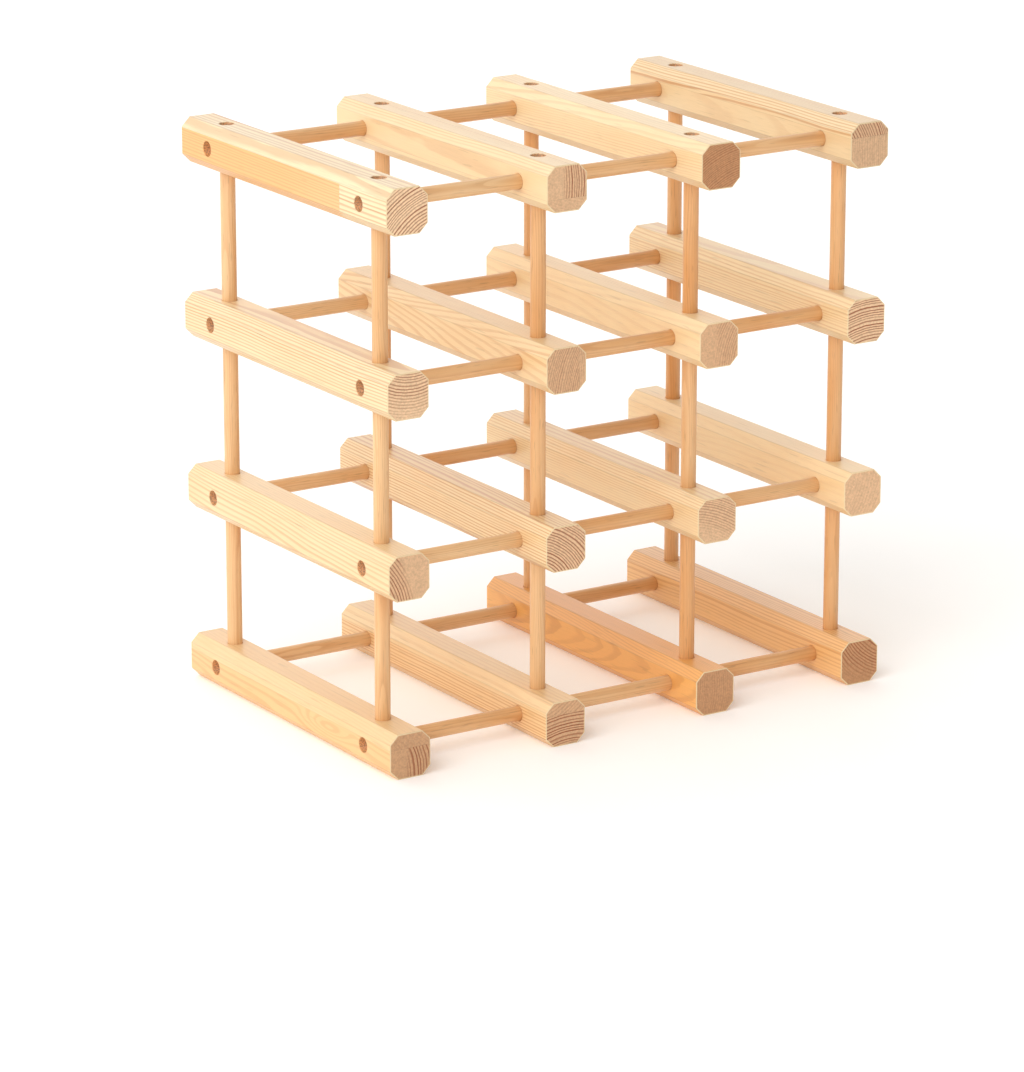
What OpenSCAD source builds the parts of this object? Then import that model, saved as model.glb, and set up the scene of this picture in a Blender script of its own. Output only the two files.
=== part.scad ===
// Knock-down wine rack. Square rails run from front to rear in a grid of columns and levels,
// and short round dowels join each rail to its neighbours beside it, above it and below it.
// X runs across the columns, Y from the front to the rear, and Z up from the underside.
// The origin is on the ground, under the middle of the rack.

/* [Layout] */
// Number of rails side by side
columns = 4; // [2:1:4]
// Number of rails one above the other
levels = 4; // [2:1:4]
// Distance between the middles of two neighbouring columns
column_pitch = 117; // [95:1:145]
// Distance between the middles of two neighbouring levels
level_pitch = 117; // [95:1:145]

/* [Rails] */
// Width and height of a rail
rail_w = 30; // [24:0.5:40]
// Length of a rail from front to rear
rail_len = 254; // [180:1:320]
// Width that the chamfer takes off each side of a long edge
rail_chamfer = 6; // [2:0.5:8]

/* [Dowels and sockets] */
// Diameter of a dowel
dowel_d = 10; // [8:0.5:12]
// Radial gap between a dowel and the wall of its socket
fit_gap = 0.05; // [0.01:0.01:0.1]
// Distance from a rail's end to the middle of the nearest sockets
socket_inset = 33; // [20:1:50]
// Wood left where the bottoms of two neighbouring sockets come close inside a rail
socket_web = 0.95; // [0.5:0.05:3]
// Room left between a dowel's end and the bottom of its socket
end_gap = 0.5; // [0.2:0.1:1]
// Size of the chamfer round a dowel's ends
dowel_chamfer = 0.8; // [0.3:0.1:1.5]

/* [Hidden] */
rail_colour = "#ecd3a6";
dowel_colour = "#d9a466";
round_fn = 64;
half_w = rail_w / 2;
socket_r = dowel_d / 2 + fit_gap;
socket_depth = half_w - socket_r - socket_web;
dowel_grip = socket_depth - end_gap;
// How far a socket's cutter stands out of the rail's face
cut_margin = 1;
quarter_turns = [0, 90, 180, 270];

stations = ["front", "rear"];
station_y = [-(rail_len / 2 - socket_inset), rail_len / 2 - socket_inset];

// Columns count from the left, levels from the bottom, bays and gaps as the rail before them
column_list = [1 : columns];
bay_list = [1 : columns - 1];
level_list = [1 : levels];
gap_list = [1 : levels - 1];
station_list = [0 : len(stations) - 1];

function column_x(column) = (column - (columns + 1) / 2) * column_pitch;
function level_z(level) = half_w + (level - 1) * level_pitch;

// A dowel reaches across the clear space between two rails and into a socket at each end
function dowel_len(pitch) = pitch - rail_w + 2 * dowel_grip;

function rail_name(column, level) = str("rail_col", column, "_level", level);
function cross_name(bay, level) = str("cross_dowels_bay", bay, "_level", level);
function upright_name(column, gap, station) =
    str("upright_dowel_col", column, "_gap", gap, "_", stations[station]);

// One side of the rail's outline, turned to each of the four sides
function outline_side(turn) =
    let (flat = half_w - rail_chamfer, c = cos(turn), s = sin(turn))
    [for (y = [-flat, flat]) [half_w * c - y * s, half_w * s + y * c]];

module rail_outline() {
    polygon([for (turn = quarter_turns) each outline_side(turn)]);
}

// Blind sockets in the middle of all four sides, at both stations
module rail_sockets() {
    for (y = station_y, turn = quarter_turns)
        translate([0, y, 0])
            rotate([0, turn, 0])
                translate([0, 0, half_w - socket_depth])
                    cylinder(h = socket_depth + cut_margin, r = socket_r, $fn = round_fn);
}

module bare_rail() {
    difference() {
        rotate([90, 0, 0])
            linear_extrude(height = rail_len, center = true)
                rail_outline();
        rail_sockets();
    }
}

// A dowel along Z, centred on the origin, with chamfered ends
module bare_dowel(length) {
    r = dowel_d / 2;
    half_len = length / 2;
    rotate_extrude($fn = round_fn)
        polygon([
            [0, -half_len],
            [r - dowel_chamfer, -half_len],
            [r, -half_len + dowel_chamfer],
            [r, half_len - dowel_chamfer],
            [r - dowel_chamfer, half_len],
            [0, half_len]
        ]);
}

module rail(column, level) {
    color(rail_colour)
        translate([column_x(column), 0, level_z(level)])
            bare_rail();
}

// The front and the rear dowel that hold two neighbouring columns apart at one level
module cross_dowels(bay, level) {
    x = (column_x(bay) + column_x(bay + 1)) / 2;
    color(dowel_colour)
        for (y = station_y)
            translate([x, y, level_z(level)])
                rotate([0, 90, 0])
                    bare_dowel(dowel_len(column_pitch));
}

// One dowel that carries a rail on the rail below it
module upright_dowel(column, gap, station) {
    z = (level_z(gap) + level_z(gap + 1)) / 2;
    color(dowel_colour)
        translate([column_x(column), station_y[station], z])
            bare_dowel(dowel_len(level_pitch));
}

for (column = column_list, level = level_list)
    rail(column, level);

for (bay = bay_list, level = level_list)
    cross_dowels(bay, level);

for (column = column_list, gap = gap_list, station = station_list)
    upright_dowel(column, gap, station);
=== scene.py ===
import bmesh
import bpy
import math
from mathutils import Matrix, Vector


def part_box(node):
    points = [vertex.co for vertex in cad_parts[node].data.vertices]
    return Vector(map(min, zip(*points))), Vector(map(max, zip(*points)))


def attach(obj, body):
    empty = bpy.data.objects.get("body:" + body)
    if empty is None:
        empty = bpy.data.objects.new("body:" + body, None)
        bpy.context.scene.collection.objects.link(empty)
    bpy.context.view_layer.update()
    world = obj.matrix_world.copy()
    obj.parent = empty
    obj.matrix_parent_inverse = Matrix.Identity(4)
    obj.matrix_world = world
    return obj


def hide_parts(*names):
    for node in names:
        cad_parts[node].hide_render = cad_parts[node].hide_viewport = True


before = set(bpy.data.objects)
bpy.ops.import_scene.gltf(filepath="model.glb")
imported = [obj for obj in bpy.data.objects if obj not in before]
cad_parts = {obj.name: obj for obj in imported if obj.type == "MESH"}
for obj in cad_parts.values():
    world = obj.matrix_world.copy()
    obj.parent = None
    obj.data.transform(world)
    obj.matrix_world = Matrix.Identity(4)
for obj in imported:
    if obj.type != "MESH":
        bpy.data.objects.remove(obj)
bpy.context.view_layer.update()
print("frame loaded:", len(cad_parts), "nodes")


class Wire:
    # One socket of a material, so that patterns read as plain sums and products
    def __init__(self, tree, socket=None):
        self.tree = tree
        self.socket = socket

    # Any node: its type, its settings, its inputs, and the name or number of the output wanted
    def make(self, kind, settings, inputs, output=0):
        node = self.tree.nodes.new(kind)
        for key, value in settings.items():
            setattr(node, key, value)
        for key, value in inputs.items():
            if isinstance(value, Wire):
                self.tree.links.new(value.socket, node.inputs[key])
            else:
                node.inputs[key].default_value = value
        if isinstance(output, tuple):
            return [Wire(self.tree, node.outputs[one]) for one in output]
        return Wire(self.tree, node.outputs[output])

    def math(self, operation, *others):
        inputs = {0: self}
        for place, other in enumerate(others, 1):
            inputs[place] = other
        return self.make("ShaderNodeMath", {"operation": operation}, inputs)

    def __add__(self, other):
        return self.math("ADD", other)

    def __radd__(self, other):
        return self.math("ADD", other)

    def __sub__(self, other):
        return self.math("SUBTRACT", other)

    def __rsub__(self, other):
        return self.make("ShaderNodeMath", {"operation": "SUBTRACT"}, {0: other, 1: self})

    def __mul__(self, other):
        return self.math("MULTIPLY", other)

    def __rmul__(self, other):
        return self.math("MULTIPLY", other)

    def __truediv__(self, other):
        return self.math("DIVIDE", other)

    def __abs__(self):
        return self.math("ABSOLUTE")

    # 0 at low and 1 at high, or the other way round where low is above high
    def rise(self, low, high):
        return self.make("ShaderNodeMapRange", {"interpolation_type": "SMOOTHSTEP"},
                         {"Value": self, "From Min": low, "From Max": high})


def vectorOf(x, y, z):
    return x.make("ShaderNodeCombineXYZ", {}, {0: x, 1: y, 2: z})


# Noise that is drawn out along y. It is given as its fineness across and along the grain for each
# millimetre, the shift of its seed, its detail and its roughness.
def cloud(x, y, z, noise, seed):
    across, along, shift, detail, roughness = noise
    place = vectorOf(x * across + (seed + shift), y * along, z * across)
    return place.make("ShaderNodeTexNoise", {"noise_dimensions": "3D"},
                      {"Vector": place, "Scale": 1.0, "Detail": detail, "Roughness": roughness})


def chance(value):
    return value.make("ShaderNodeTexWhiteNoise", {"noise_dimensions": "1D"}, {"W": value})


# The first colour at 0 and the second at 1
def blendColour(amount, first, second):
    return amount.make("ShaderNodeMix", {"data_type": "RGBA"}, {0: amount, 6: first, 7: second}, 2)


def dim(colour, factor):
    return factor.make("ShaderNodeVectorMath", {"operation": "SCALE"}, {0: colour, "Scale": factor})


# An object's own coordinates in millimetres from a place given in metres
def millimetresFrom(start, place):
    position = start.make("ShaderNodeTexCoord", {}, {}, "Object")
    local = start.make("ShaderNodeMapping", {"vector_type": "POINT"},
                       {"Vector": position, "Location": [-1000 * part for part in place],
                        "Scale": (1000, 1000, 1000)})
    return start.make("ShaderNodeSeparateXYZ", {}, {0: local}, ("X", "Y", "Z"))


# The dark late wood of a year's growth, from the share of the ring that has grown. The rings
# differ in strength.
def lateWood(count, seed, marks):
    phase = count.math("FRACT")
    strength = chance(count.math("FLOOR") + seed)
    late = phase.rise(*marks["lateGrows"]) * phase.rise(*marks["lateStops"])
    return late * (strength * (1 - marks["weakestRing"]) + marks["weakestRing"])


# Screen colour from 0 to 255 to the linear colour that a shader takes
def paint(red, green, blue):
    parts = []
    for value in (red, green, blue):
        share = value / 255
        parts.append(share / 12.92 if share <= 0.04045 else ((share + 0.055) / 1.055) ** 2.4)
    return (*parts, 1.0)


def between(first, second, share):
    return tuple(a + (b - a) * share for a, b in zip(first, second))


def newMaterial(name):
    material = bpy.data.materials.new(name)
    material.use_nodes = True
    material.node_tree.nodes.clear()
    return material, Wire(material.node_tree)


def finishMaterial(start, colour, roughness, height, lacquer, finish):
    bump = start.make("ShaderNodeBump", {},
                      {"Strength": 1.0, "Distance": finish["relief"], "Height": height})
    surface = start.make("ShaderNodeBsdfPrincipled", {},
                         {"Base Color": colour, "Roughness": roughness, "Normal": bump,
                          "Specular IOR Level": finish["specular"], "Coat Weight": lacquer,
                          "Coat Roughness": finish["lacquerRoughness"]})
    start.make("ShaderNodeOutputMaterial", {}, {"Surface": surface}, ())


railShape = {
    "chamfer": 0.006,        # taken off each side of a long edge
    "arris": 0.00045,        # rounding that sanding leaves on every edge
    "arrisSteps": 3,
    "station": 0.094,        # distance of the sockets from the middle of the rail
    "socketRadius": 0.00505,
    "socketDepth": 0.009,
    "rim": 0.0003,           # break of the socket's mouth
    "patch": 0.008,          # half the length of the strip of face that a socket is cut in
    "smallestPatch": 0.0001,  # its least area, which no piece of a socket's wall has
    "facing": 0.999,         # cosine to the side that a face must point to
    "roundSteps": 48,
}

# Wood of each rail. Lengths are millimetres from the rail's middle, x to the right and z up.
# pith is the middle of the tree, lean its drift for each millimetre towards the rear, ring the
# width of a year's growth, lines the darkness of the late wood, sway the waviness of the rings,
# tone from cream to honey, face the tint of the end, and fade where the lines die away.
# second is a second board, which starts at a glue line across x or z, or at fingers along y. It is
# on the low side of the line if under is set, reaches up to below, and gets paler towards the front.
# swirl is a bulge of the rings by a branch, as the place along and up, the half lengths, and the
# lift. sides is the strength of the lines along the rail, against 1 on its ends, and shade darkens
# or lightens the whole rail.
railWood = {
    "rail_col1_level4": {
        "pith": (28, -40), "lean": (0.012, 0.01), "ring": 1.9, "lines": 1.0, "sway": 0.9, "tone": 0.0,
        "face": -0.05,
        "second": {"axis": "y", "at": -67, "below": 8.6, "paler": 0.0025, "pith": (-10, 62), "ring": 1.9,
                   "lines": 0.75, "tone": 0.85}},
    "rail_col2_level4": {
        "pith": (-70, 8), "lean": (-0.01, 0.015), "ring": 1.75, "lines": 1.0, "sway": 2.0, "tone": 0.16,
        "face": 0.5, "fade": (1, 0, -3.5, 0.5),
        "second": {"axis": "z", "at": -6.5, "under": True, "pith": (20, 60), "ring": 2.0, "lines": 0.12,
                   "tone": 0.16}},
    "rail_col3_level4": {
        "sides": 0.5,
        "pith": (25, -55), "lean": (0.02, -0.012), "ring": 1.4, "lines": 0.55, "sway": 2.6, "tone": 0.13,
        # Its dark end is partly its own redder end grain and partly painted shadow
        "face": 1.08},
    "rail_col4_level4": {
        # Painted shade: this rail is darkened where the light falls off towards the right
        "shade": 0.91,
        "pith": (75, -4), "lean": (-0.02, 0.01), "ring": 1.7, "lines": 0.25, "sway": 2.0, "tone": 0.16,
        "face": 0.45,
        "second": {"axis": "z", "at": 5.5, "pith": (-70, -22), "ring": 1.7, "lines": 1.0, "tone": 0.20}},
    "rail_col1_level3": {
        "sides": 0.85,
        "pith": (4, 46), "lean": (0.01, -0.008), "ring": 1.9, "lines": 0.85, "sway": 1.6, "tone": 0.10,
        "face": 0.15, "fade": (0, 1, -24, 6)},
    "rail_col2_level3": {
        "pith": (80, -28), "lean": (-0.05, 0.0), "ring": 1.5, "lines": 0.55, "sway": 1.6, "tone": 0.23,
        "face": 0.6,
        "second": {"axis": "x", "at": 9.5, "pith": (-80, -6), "ring": 1.6, "lines": 0.3, "tone": 0.33}},
    "rail_col3_level3": {
        "shade": 1.04,
        "pith": (52, -18), "lean": (-0.02, 0.01), "ring": 1.8, "lines": 0.45, "sway": 2.6, "tone": 0.20,
        "face": 0.65, "fade": (1, 0, -6, 4)},
    "rail_col4_level3": {
        "sides": 0.4,
        "pith": (8, -75), "lean": (0.01, 0.01), "ring": 1.9, "lines": 1.0, "sway": 1.3, "tone": 0.13,
        "face": 0.2},
    "rail_col1_level2": {
        "sides": 0.45,
        "pith": (-44, -22), "lean": (0.03, 0.012), "ring": 2.0, "lines": 0.95, "sway": 3.2, "tone": 0.20,
        "face": 0.5, "fade": (-1, -0.35, -1, 6)},
    "rail_col2_level2": {
        "pith": (-25, -30), "lean": (0.012, 0.016), "ring": 1.8, "lines": 1.0, "sway": 1.6, "tone": 0.16,
        "face": 0.3},
    "rail_col3_level2": {
        "pith": (-30, -62), "lean": (-0.015, 0.01), "ring": 1.7, "lines": 0.6, "sway": 2.0, "tone": 0.16,
        "face": 0.4, "fade": (0.4, 1, -20, 6)},
    "rail_col4_level2": {
        "shade": 1.05,
        "pith": (-90, 40), "lean": (0.02, 0.012), "ring": 2.4, "lines": 0.12, "sway": 2.6, "tone": 0.16,
        "face": 0.45},
    # The bottom rails' higher tones are partly their own honey colour and partly painted warm reflected
    # light
    "rail_col1_level1": {
        "shade": 0.96, "swirl": (-48, -1, 46, 9.5, 6.5),
        "pith": (-34, -10), "lean": (0.04, 0.012), "ring": 2.3, "lines": 0.95, "sway": 3.2, "tone": 0.62,
        "face": 0.8, "fade": (1, 0, -4, 1),
        "second": {"axis": "z", "at": 5, "pith": (60, 70), "ring": 2.6, "lines": 0.15, "tone": 0.39}},
    "rail_col2_level1": {
        "pith": (5, -72), "lean": (0.01, 0.008), "ring": 2.1, "lines": 1.0, "sway": 1.3, "tone": 0.45,
        "face": 0.65,
        "second": {"axis": "z", "at": 6, "pith": (-30, 60), "ring": 2.2, "lines": 0.3, "tone": 0.26}},
    "rail_col3_level1": {
        "sides": 1.5,
        "pith": (-62, 2), "lean": (0.05, 0.014), "ring": 1.5, "lines": 0.3, "sway": 3.2, "tone": 1.0,
        # Its dark end is partly its own redder end grain and partly painted shade
        "face": 0.95},
    "rail_col4_level1": {
        "pith": (30, 42), "lean": (-0.02, 0.012), "ring": 2.0, "lines": 0.8, "sway": 2.0, "tone": 0.7,
        "face": 1.03, "fade": (0.4, 1, -16, 4)},
}

pinePaint = {
    "cream": paint(232, 210, 167),
    "honey": paint(231, 168, 92),
    "lateSide": paint(190, 122, 62),
    "endPale": paint(237, 201, 161),
    "endRed": paint(191, 141, 98),
    "endLate": paint(142, 66, 22),
    # The socket colour is painted shade inside the sockets
    "socket": paint(198, 126, 66),
    "relief": 0.00006,
    "specular": 0.5,
    "lacquer": 0.45,
    "lacquerRoughness": 0.35,
}

pineNoise = {
    "sway": (0.02, 0.008, 0.0, 1.0, 0.5),
    "ripple": (0.16, 0.02, 0.0, 2.0, 0.5),
    "drift": (0.11, 0.0, 0.0, 1.0, 0.5),
    "fibre": (2.3, 0.06, 0.0, 4.0, 0.7),
    "streak": (5.0, 0.05, 19.3, 2.0, 0.6),
    "speck": (2.9, 0.12, 7.7, 1.0, 0.5),
    "blotch": (0.045, 0.013, 3.1, 2.0, 0.5),
    "dash": (0.9, 0.05, 11.9, 0.0, 0.5),
    "mottle": (0.75, 0.06, 2.3, 2.0, 0.5),
    "pore": (1.1, 1.1, 5.5, 1.0, 0.5),
}

# Each pair is where a mark starts to show and where it shows in full
pineMarks = {
    "half": 15.0,                # millimetres from the middle of the rail to its sides
    "flat": 9.0,                 # and to the start of the chamfers
    "end": (126.6, 126.85),      # and to its ends
    "arris": (0.6, 0.15),        # millimetres from a long edge
    # A pale rim round each end is painted highlight on its rounded edge
    "endRimHighlight": (1.0, 0.45),       # millimetres in from the outline
    # depth at which the painted shade inside a socket starts and is full
    "socket": (0.15, 0.7),
    "seam": (0.25, 0.05),        # millimetres from a glue line
    "fingerHalf": 2.0,           # half the width of a finger
    "fingerSlope": 4.5,          # its length for each millimetre of that
    "firstSeed": 5.3,
    "seedStep": 17.7,            # from rail to rail
    "secondSeed": 41.3,          # from a rail's first board to its second
    "swayReach": 2.0,
    "rippleReach": 0.8,          # millimetres
    "driftReach": 2.4,           # rings
    "lateGrows": (0.46, 0.72),   # share of a year's ring
    "lateStops": (1.0, 0.93),
    "weakestRing": 0.55,
    "sides": 0.72,
    "sideFade": 0.5,             # how much of the fading shows along the rail
    "streak": (0.52, 0.72),
    "dash": (0.71, 0.79),
    "paleSpeck": (0.62, 0.75),
    "darkSpeck": (0.4, 0.3),
    "pore": (0.42, 0.62),
}

# How much each mark changes the brightness or the blend of the colours
pineTint = {
    "blotchFrom": 0.35,
    "blotch": 0.5,
    "side": 1.02,
    "sideFibre": 0.22,
    "sideStreak": 0.07,
    "sideDash": 0.12,
    "sideSeam": 0.18,
    "endMottle": 0.6,
    "endPaleSpeck": 0.12,
    "endDarkSpeck": 0.14,
    "endSeam": 0.15,
    # painted highlight round each end
    "endRimHighlight": 0.9,
    "arris": 0.15,
    # The next three paint shade inside the sockets, with darker pores
    "socket": 0.75,
    "socketShadeLevel": 1.15,
    "socketPore": 0.75,
}

pineGloss = {
    "base": 0.5,
    "fibre": 0.18,
    "end": 0.14,
    "late": -0.06,
    "socket": 0.15,
}

pineHeight = {
    "fibre": 0.5,
    "late": 0.45,
    "endSpeck": 0.8,
}


# centre is the middle of the rail
def pineMaterial(name, centre, wood, seed):
    material, start = newMaterial("pine_" + name)
    x, y, z = millimetresFrom(start, centre)
    # Which board of the rail this is
    pithX, pithZ = wood["pith"]
    ring, lines = wood["ring"], wood["lines"]
    early = between(pinePaint["cream"], pinePaint["honey"], wood["tone"])
    fade = 1.0
    if "fade" in wood:
        slopeX, slopeZ, low, high = wood["fade"]
        fade = (x * slopeX + z * slopeZ).rise(low, high)
    seam = 0.0
    if "second" in wood:
        other = wood["second"]
        along = {"x": x, "y": y, "z": z}[other["axis"]]
        if other["axis"] == "y":
            along = along + x.math("PINGPONG", pineMarks["fingerHalf"]) * pineMarks["fingerSlope"]
        beyond = along.math("LESS_THAN" if other.get("under") else "GREATER_THAN", other["at"])
        if "below" in other:
            beyond = beyond * z.math("LESS_THAN", other["below"])
        seam = abs(along - other["at"]).rise(*pineMarks["seam"])
        pithX = beyond * (other["pith"][0] - pithX) + pithX
        pithZ = beyond * (other["pith"][1] - pithZ) + pithZ
        ring = beyond * (other["ring"] - ring) + ring
        if "fade" in wood:
            fade = fade.math("MAXIMUM", beyond)
        lines = beyond * (other["lines"] - lines) + lines
        early = blendColour(beyond * (y * other.get("paler", 0.0) + 1), early,
                            between(pinePaint["cream"], pinePaint["honey"], other["tone"]))
        seed = beyond * pineMarks["secondSeed"] + seed
    # Year rings round the pith, a little wavy along the rail
    leanX, leanZ = wood["lean"]
    across = x - pithX - y * leanX
    upward = z - pithZ - y * leanZ
    sway = cloud(x, y, z, pineNoise["sway"], seed) - 0.5
    ripple = cloud(x, y, z, pineNoise["ripple"], seed) - 0.5
    reach = (across * across + upward * upward).math("SQRT")
    reach = reach + sway * wood["sway"] * pineMarks["swayReach"] + ripple * pineMarks["rippleReach"]
    if "swirl" in wood:
        middleY, middleZ, halfLong, halfHigh, lift = wood["swirl"]
        alongSwirl = (y - middleY) / halfLong
        upSwirl = (z - middleZ) / halfHigh
        away = (alongSwirl * alongSwirl + upSwirl * upSwirl).math("SQRT")
        reach = reach + away.rise(1.0, 0.0) * lift
    drift = cloud(reach, 0.0, 0.0, pineNoise["drift"], seed)
    late = lateWood(reach / ring + drift * pineMarks["driftReach"], seed, pineMarks) * lines
    sideFade = fade * pineMarks["sideFade"] + (1 - pineMarks["sideFade"])
    sideLate = late * sideFade * wood.get("sides", pineMarks["sides"])
    # Where on the rail, with inside as the distance in from its outline
    flatX = abs(x)
    flatZ = abs(z)
    far = flatX.math("MAXIMUM", flatZ)
    near = flatX.math("MINIMUM", flatZ)
    half, flat = pineMarks["half"], pineMarks["flat"]
    inside = (half - far).math("MINIMUM", (half + flat - far - near) * math.sqrt(0.5))
    endFace = abs(y).rise(*pineMarks["end"])
    edge = ((far - half) * (far - half) + (near - flat) * (near - flat)).math("SQRT")
    arris = edge.rise(*pineMarks["arris"]) * (1 - endFace)
    # Painted highlight: a pale rim round each end
    endRimHighlight = endFace * inside.rise(*pineMarks["endRimHighlight"])
    # Painted shade inside the sockets, full from 0.7 millimetres in
    socket = inside.rise(*pineMarks["socket"]) * (1 - endFace)
    # Fibres run along the rail, and their ends are dots
    fibre = cloud(x, y, z, pineNoise["fibre"], seed) - 0.5
    streak = cloud(x, y, z, pineNoise["streak"], seed).rise(*pineMarks["streak"])
    speck = cloud(x, y, z, pineNoise["speck"], seed)
    blotch = cloud(x, y, z, pineNoise["blotch"], seed)
    dash = cloud(x, y, z, pineNoise["dash"], seed).rise(*pineMarks["dash"])
    mottle = cloud(x, y, z, pineNoise["mottle"], seed) - 0.5
    pore = cloud(x, y, z, pineNoise["pore"], seed).rise(*pineMarks["pore"])
    # Colour along the rail
    side = blendColour((blotch - pineTint["blotchFrom"]) * pineTint["blotch"], early, pinePaint["honey"])
    side = blendColour(sideLate, side, pinePaint["lateSide"])
    side = dim(side, pineTint["side"] + fibre * pineTint["sideFibre"] - streak * pineTint["sideStreak"]
               - dash * pineTint["sideDash"] - seam * pineTint["sideSeam"])
    # Colour of the ends
    endEarly = between(pinePaint["endPale"], pinePaint["endRed"], wood["face"])
    end = blendColour(late * fade, endEarly, pinePaint["endLate"])
    paleSpeck = speck.rise(*pineMarks["paleSpeck"])
    darkSpeck = speck.rise(*pineMarks["darkSpeck"])
    end = dim(end, 1 + mottle * pineTint["endMottle"] + paleSpeck * pineTint["endPaleSpeck"]
              - darkSpeck * pineTint["endDarkSpeck"] - seam * pineTint["endSeam"])
    # The painted highlight round each end
    end = blendColour(endRimHighlight * pineTint["endRimHighlight"], end, pinePaint["cream"])
    colour = blendColour(endFace, side, end)
    # shade scales the whole rail, as painted shade on the top right rail; the long edges get a darker
    # line
    colour = dim(colour, wood.get("shade", 1.0) - arris * pineTint["arris"])
    # Painted shade darkens the inside of a socket to brown, with the open pores of its end grain as
    # darker dots
    paintedSocketShade = dim(pinePaint["socket"][:3], pineTint["socketShadeLevel"] - pore * pineTint["socketPore"])
    colour = blendColour(socket * pineTint["socket"], colour, paintedSocketShade)
    roughness = (pineGloss["base"] + fibre * pineGloss["fibre"] + endFace * pineGloss["end"]
                 + late * pineGloss["late"] + socket * pineGloss["socket"])
    height = ((fibre + 0.5) * pineHeight["fibre"] + late * pineHeight["late"]
              + endFace * speck * pineHeight["endSpeck"])
    finishMaterial(start, colour, roughness, height, (1 - endFace) * pinePaint["lacquer"], pinePaint)
    return material


# Cuts one blind socket into the side that turn brings to the top, at y
def cutSocket(shape, bm, face, turn, y, half):
    bmesh.ops.delete(bm, geom=[face], context="FACES_ONLY")
    border = [edge for edge in bm.edges if len(edge.link_faces) == 1]
    place = turn @ Matrix.Translation((0, y, half))
    ring = bmesh.ops.create_circle(bm, cap_ends=False, segments=shape["roundSteps"],
                                   radius=shape["socketRadius"] + shape["rim"], matrix=place)["verts"]
    loop = list({edge for vert in ring for edge in vert.link_edges})
    bmesh.ops.triangle_fill(bm, use_beauty=True, use_dissolve=False, edges=border + loop)
    # The broken edge of the mouth, the wall, and the flat bottom
    for radius, drop in ((shape["socketRadius"], shape["rim"]),
                         (shape["socketRadius"], shape["socketDepth"])):
        made = bmesh.ops.extrude_edge_only(bm, edges=loop)["geom"]
        new = [item for item in made if isinstance(item, bmesh.types.BMVert)]
        loop = [item for item in made if isinstance(item, bmesh.types.BMEdge)
                and all(vert in new for vert in item.verts)]
        space = place.inverted()
        level = space @ new[0].co
        grow = radius / math.hypot(level.x, level.y)
        bmesh.ops.scale(bm, vec=(grow, grow, 1), space=space, verts=new)
        bmesh.ops.translate(bm, vec=(0, 0, -drop - level.z), space=space, verts=new)
        for edge in loop:
            for one in edge.link_faces:
                one.smooth = True
    bmesh.ops.edgeloop_fill(bm, edges=loop)


# One rail about the origin, which every rail copies
def buildRail(shape, size):
    bm = bmesh.new()
    bmesh.ops.create_cube(bm, size=1)
    bmesh.ops.scale(bm, vec=size, verts=bm.verts)
    longEdges = [edge for edge in bm.edges if abs(edge.verts[0].co.y - edge.verts[1].co.y) > size.y / 2]
    bmesh.ops.bevel(bm, geom=longEdges, offset=shape["chamfer"], offset_type="OFFSET", segments=1,
                    profile=0.5, affect="EDGES", material=-1)
    rounded = bmesh.ops.bevel(bm, geom=list(bm.edges), offset=shape["arris"], offset_type="OFFSET",
                              segments=shape["arrisSteps"], profile=0.5, affect="EDGES", material=-1)
    for face in rounded["faces"]:
        face.smooth = True
    for y in (-shape["station"], shape["station"]):
        for edge in (y - shape["patch"], y + shape["patch"]):
            everything = list(bm.verts) + list(bm.edges) + list(bm.faces)
            bmesh.ops.bisect_plane(bm, geom=everything, plane_co=(0, edge, 0), plane_no=(0, 1, 0))
    for quarter in range(4):
        turn = Matrix.Rotation(math.radians(90 * quarter), 4, "Y")
        outward = turn @ Vector((0, 0, 1))
        for y in (-shape["station"], shape["station"]):
            bm.faces.ensure_lookup_table()
            patch = [face for face in bm.faces if face.normal.dot(outward) > shape["facing"]
                     and abs(face.calc_center_median().y - y) < shape["patch"]
                     and face.calc_area() > shape["smallestPatch"]]
            cutSocket(shape, bm, patch[0], turn, y, size.z / 2)
    bmesh.ops.recalc_face_normals(bm, faces=bm.faces)
    return bm


# Puts a finished mesh in the place of its node, with its wood
def placePiece(bm, node, material):
    mesh = bpy.data.meshes.new(node + "_wood")
    bm.to_mesh(mesh)
    bm.free()
    mesh.materials.append(material)
    piece = bpy.data.objects.new(node + "_wood", mesh)
    bpy.context.scene.collection.objects.link(piece)
    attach(piece, "root")
    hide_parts(node)


firstLow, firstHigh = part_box("rail_col1_level1")
railTemplate = buildRail(railShape, firstHigh - firstLow)
for number, (node, wood) in enumerate(railWood.items()):
    rail = railTemplate.copy()
    low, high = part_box(node)
    middle = (low + high) / 2
    bmesh.ops.translate(rail, vec=middle, verts=rail.verts)
    seed = pineMarks["firstSeed"] + pineMarks["seedStep"] * number
    placePiece(rail, node, pineMaterial(node, middle, wood, seed))
railTemplate.free()
print("rails:", len(railWood))


dowelShape = {
    "radius": 0.005,
    "chamfer": 0.0008,       # round the ends
    "chamferSteps": 2,
    "roundSteps": 48,
}

dowelPaint = {
    "pale": paint(230, 188, 138),
    "warm": paint(214, 146, 78),
    "late": paint(190, 124, 66),
    "relief": 0.00005,
    "specular": 0.5,
    "lacquer": 0.2,
    "lacquerRoughness": 0.35,
}

dowelNoise = {
    "sway": (0.05, 0.012, 0.0, 1.0, 0.5),
    "fibre": (2.6, 0.05, 0.0, 3.0, 0.6),
    "dash": (1.4, 0.08, 9.1, 0.0, 0.5),
    "blotch": (0.1, 0.02, 4.2, 1.0, 0.5),
}

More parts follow.
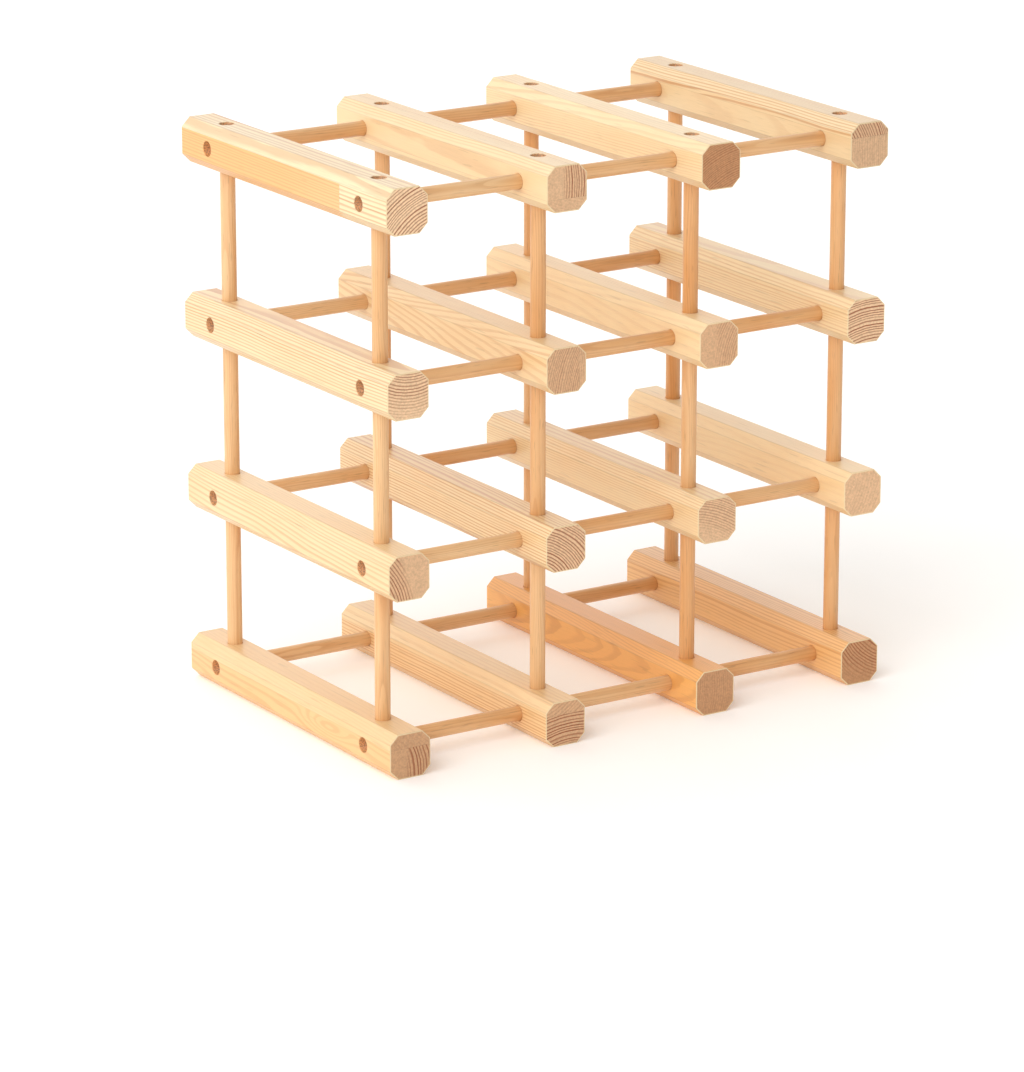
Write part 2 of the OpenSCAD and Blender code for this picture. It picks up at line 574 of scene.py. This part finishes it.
dowelMarks = {
    "seeds": (53, 17),
    "tree": 90,                  # millimetres over which the dowels' places in the tree are spread
    "lean": 0.01,
    "swayReach": 5,              # millimetres
    "ring": 1.1,                 # millimetres, and up to ringMore wider
    "ringMore": 0.7,
    "lateGrows": (0.25, 0.85),   # share of a year's ring
    "lateStops": (1.0, 0.92),
    "weakestRing": 0.3,
    "dash": (0.68, 0.78),
}

# How much each mark changes the brightness or the blend of the colours
dowelTint = {
    "spread": 0.4,               # from dowel to dowel
    "blotch": 0.8,
    # painted shade: warmer and darker with each column to the right, where less light falls
    "shadeToRight": 0.14,               # warmer with each column to the right
    "late": 0.36,
    "fibre": 0.2,
    "dash": 0.18,
}

dowelGloss = {
    "base": 0.46,
    "fibre": 0.2,
    "late": -0.05,
}

dowelHeight = {
    "fibre": 0.6,
    "late": 0.3,
}

# Millimetres from the origin, as the patterns count them
rackPitch = {
    "column": 117.0,
    "level": 117.0,
    "station": 188.0,
    "firstColumn": -175.5,
    "firstLevel": 15.0,
}


# Wood for all the dowels that lie one way. A cell round each dowel gives it grain of its own.
def dowelMaterial(name, upright):
    material, start = newMaterial(name)
    x, y, z = millimetresFrom(start, (0, 0, 0))
    columnShift = 0.5 if upright else 0.0
    levelShift = 0.0 if upright else 0.5
    column = (x - rackPitch["firstColumn"]) / rackPitch["column"] + columnShift
    level = (z - rackPitch["firstLevel"]) / rackPitch["level"] + levelShift
    station = y / rackPitch["station"] + 1.0
    cell = vectorOf(column.math("FLOOR") + 0.5, station.math("FLOOR") + 0.5, level.math("FLOOR") + 0.5)
    dice = start.make("ShaderNodeTexWhiteNoise", {"noise_dimensions": "3D"}, {"Vector": cell}, "Color")
    first, second, third = start.make("ShaderNodeSeparateXYZ", {}, {0: dice}, ("X", "Y", "Z"))
    depth = (station.math("FRACT") - 0.5) * rackPitch["station"]
    if upright:
        run = z
        wide = (column.math("FRACT") - 0.5) * rackPitch["column"]
    else:
        run = x
        wide = (level.math("FRACT") - 0.5) * rackPitch["level"]
    # Year rings round a pith that differs from dowel to dowel
    firstSeed, secondSeed = dowelMarks["seeds"]
    seed = first * firstSeed + second * secondSeed
    across = wide + (first - 0.5) * dowelMarks["tree"] + run * dowelMarks["lean"]
    upward = depth + (second - 0.5) * dowelMarks["tree"]
    sway = cloud(wide, run, depth, dowelNoise["sway"], seed) - 0.5
    reach = (across * across + upward * upward).math("SQRT") + sway * dowelMarks["swayReach"]
    count = reach / (third * dowelMarks["ringMore"] + dowelMarks["ring"])
    late = lateWood(count, seed, dowelMarks)
    fibre = cloud(wide, run, depth, dowelNoise["fibre"], seed) - 0.5
    dash = cloud(wide, run, depth, dowelNoise["dash"], seed).rise(*dowelMarks["dash"])
    blotch = cloud(wide, run, depth, dowelNoise["blotch"], seed) - 0.5
    warmthAndShade = third * dowelTint["spread"] + blotch * dowelTint["blotch"]
    # Painted shade, more with each column to the right
    warmthAndShade = warmthAndShade + column.math("FLOOR") * dowelTint["shadeToRight"]
    colour = blendColour(warmthAndShade, dowelPaint["pale"], dowelPaint["warm"])
    colour = blendColour(late * dowelTint["late"], colour, dowelPaint["late"])
    colour = dim(colour, 1 + fibre * dowelTint["fibre"] - dash * dowelTint["dash"])
    roughness = dowelGloss["base"] + fibre * dowelGloss["fibre"] + late * dowelGloss["late"]
    height = (fibre + 0.5) * dowelHeight["fibre"] + late * dowelHeight["late"]
    finishMaterial(start, colour, roughness, height, dowelPaint["lacquer"], dowelPaint)
    return material


# One dowel about the origin, standing up
def addDowel(shape, bm, length, turn, middle):
    made = bmesh.ops.create_cone(bm, cap_ends=True, cap_tris=False, segments=shape["roundSteps"],
                                 radius1=shape["radius"], radius2=shape["radius"], depth=length)["verts"]
    faces = {face for vert in made for face in vert.link_faces}
    for face in faces:
        face.smooth = len(face.verts) == 4
    ends = [edge for face in faces if len(face.verts) > 4 for edge in face.edges]
    bevelled = bmesh.ops.bevel(bm, geom=ends, offset=shape["chamfer"], offset_type="OFFSET",
                               segments=shape["chamferSteps"], profile=0.5, affect="EDGES", material=-1)
    verts = {vert for face in faces | set(bevelled["faces"]) if face.is_valid for vert in face.verts}
    bmesh.ops.transform(bm, matrix=Matrix.Translation(middle) @ turn, verts=list(verts))


uprightWood = dowelMaterial("dowel_upright_wood", True)
crossWood = dowelMaterial("dowel_cross_wood", False)
dowelNodes = [node for node in sorted(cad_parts) if "dowel" in node]
for node in dowelNodes:
    low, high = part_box(node)
    middle = (low + high) / 2
    dowel = bmesh.new()
    if node.startswith("cross"):
        lying = Matrix.Rotation(math.radians(90), 4, "Y")
        for y in (low.y + dowelShape["radius"], high.y - dowelShape["radius"]):
            addDowel(dowelShape, dowel, high.x - low.x, lying, Vector((middle.x, y, middle.z)))
    else:
        addDowel(dowelShape, dowel, high.z - low.z, Matrix.Identity(4), middle)
    placePiece(dowel, node, crossWood if node.startswith("cross") else uprightWood)
print("dowel pieces:", len(dowelNodes))


studio = {
    "floorSize": 40.0,
    "floorPaint": paint(252, 250, 247),
    "floorRoughness": 0.8,
    "floorSpecular": 0.2,
    "floorGlow": 0.12,       # keeps the shadows on the floor faint
    "skyBase": 0.52,
    "skyRear": 1.05,         # how much brighter it is behind the rack
    "skyLeft": 0.2,          # how much brighter it is on the left, and darker on the right
    "haze": 0.5,             # how much brighter it is low down, all round
    "hazeHeight": (0.4, 0.1),
    "keyStrength": 1.55,
    "keySpread": 50.0,       # degrees, wide for soft shadows
    "keyFrom": (-0.72, -0.28, 0.64),
}

view = {
    "target": (0.0043, 0.0338, 0.0897),
    "distance": 3.45,
    "azimuth": -32.80,
    "elevation": 16.62,
    "lens": 173.18,
}

floorMesh = bmesh.new()
bmesh.ops.create_grid(floorMesh, x_segments=1, y_segments=1, size=studio["floorSize"] / 2)
floorData = bpy.data.meshes.new("studio_floor")
floorMesh.to_mesh(floorData)
floorMesh.free()
floor = bpy.data.objects.new("studio_floor", floorData)
bpy.context.scene.collection.objects.link(floor)
floorMaterial, floorStart = newMaterial("studio_floor")
floorSurface = floorStart.make("ShaderNodeBsdfPrincipled", {},
                               {"Base Color": studio["floorPaint"],
                                "Roughness": studio["floorRoughness"],
                                "Specular IOR Level": studio["floorSpecular"],
                                "Emission Color": studio["floorPaint"],
                                "Emission Strength": studio["floorGlow"]})
floorStart.make("ShaderNodeOutputMaterial", {}, {"Surface": floorSurface}, ())
floorData.materials.append(floorMaterial)

world = bpy.data.worlds.new("studio")
world.use_nodes = True
world.node_tree.nodes.clear()
sky = Wire(world.node_tree)
facing = sky.make("ShaderNodeTexCoord", {}, {}, "Generated")
toRight, toRear, toTop = sky.make("ShaderNodeSeparateXYZ", {}, {0: facing}, ("X", "Y", "Z"))
glow = toRear.math("MAXIMUM", 0.0) * studio["skyRear"] - toRight * studio["skyLeft"] + studio["skyBase"]
glow = glow + toTop.rise(*studio["hazeHeight"]) * studio["haze"]
light = sky.make("ShaderNodeBackground", {}, {"Color": (1, 1, 1, 1), "Strength": glow})
sky.make("ShaderNodeOutputWorld", {}, {"Surface": light}, ())
bpy.context.scene.world = world

keyData = bpy.data.lights.new("key", "SUN")
keyData.energy = studio["keyStrength"]
keyData.angle = math.radians(studio["keySpread"])
key = bpy.data.objects.new("key", keyData)
key.rotation_euler = Vector(studio["keyFrom"]).to_track_quat("Z", "Y").to_euler()
bpy.context.scene.collection.objects.link(key)

azimuth = math.radians(view["azimuth"])
elevation = math.radians(view["elevation"])
back = Vector((math.sin(azimuth) * math.cos(elevation), -math.cos(azimuth) * math.cos(elevation),
               math.sin(elevation)))
cameraData = bpy.data.cameras.new("camera")
cameraData.lens = view["lens"]
camera = bpy.data.objects.new("camera", cameraData)
camera.location = Vector(view["target"]) + back * view["distance"]
camera.rotation_euler = (math.pi / 2 - elevation, 0, azimuth)
bpy.context.scene.collection.objects.link(camera)
bpy.context.scene.camera = camera
bpy.context.scene.view_settings.view_transform = "Standard"
print("studio ready")
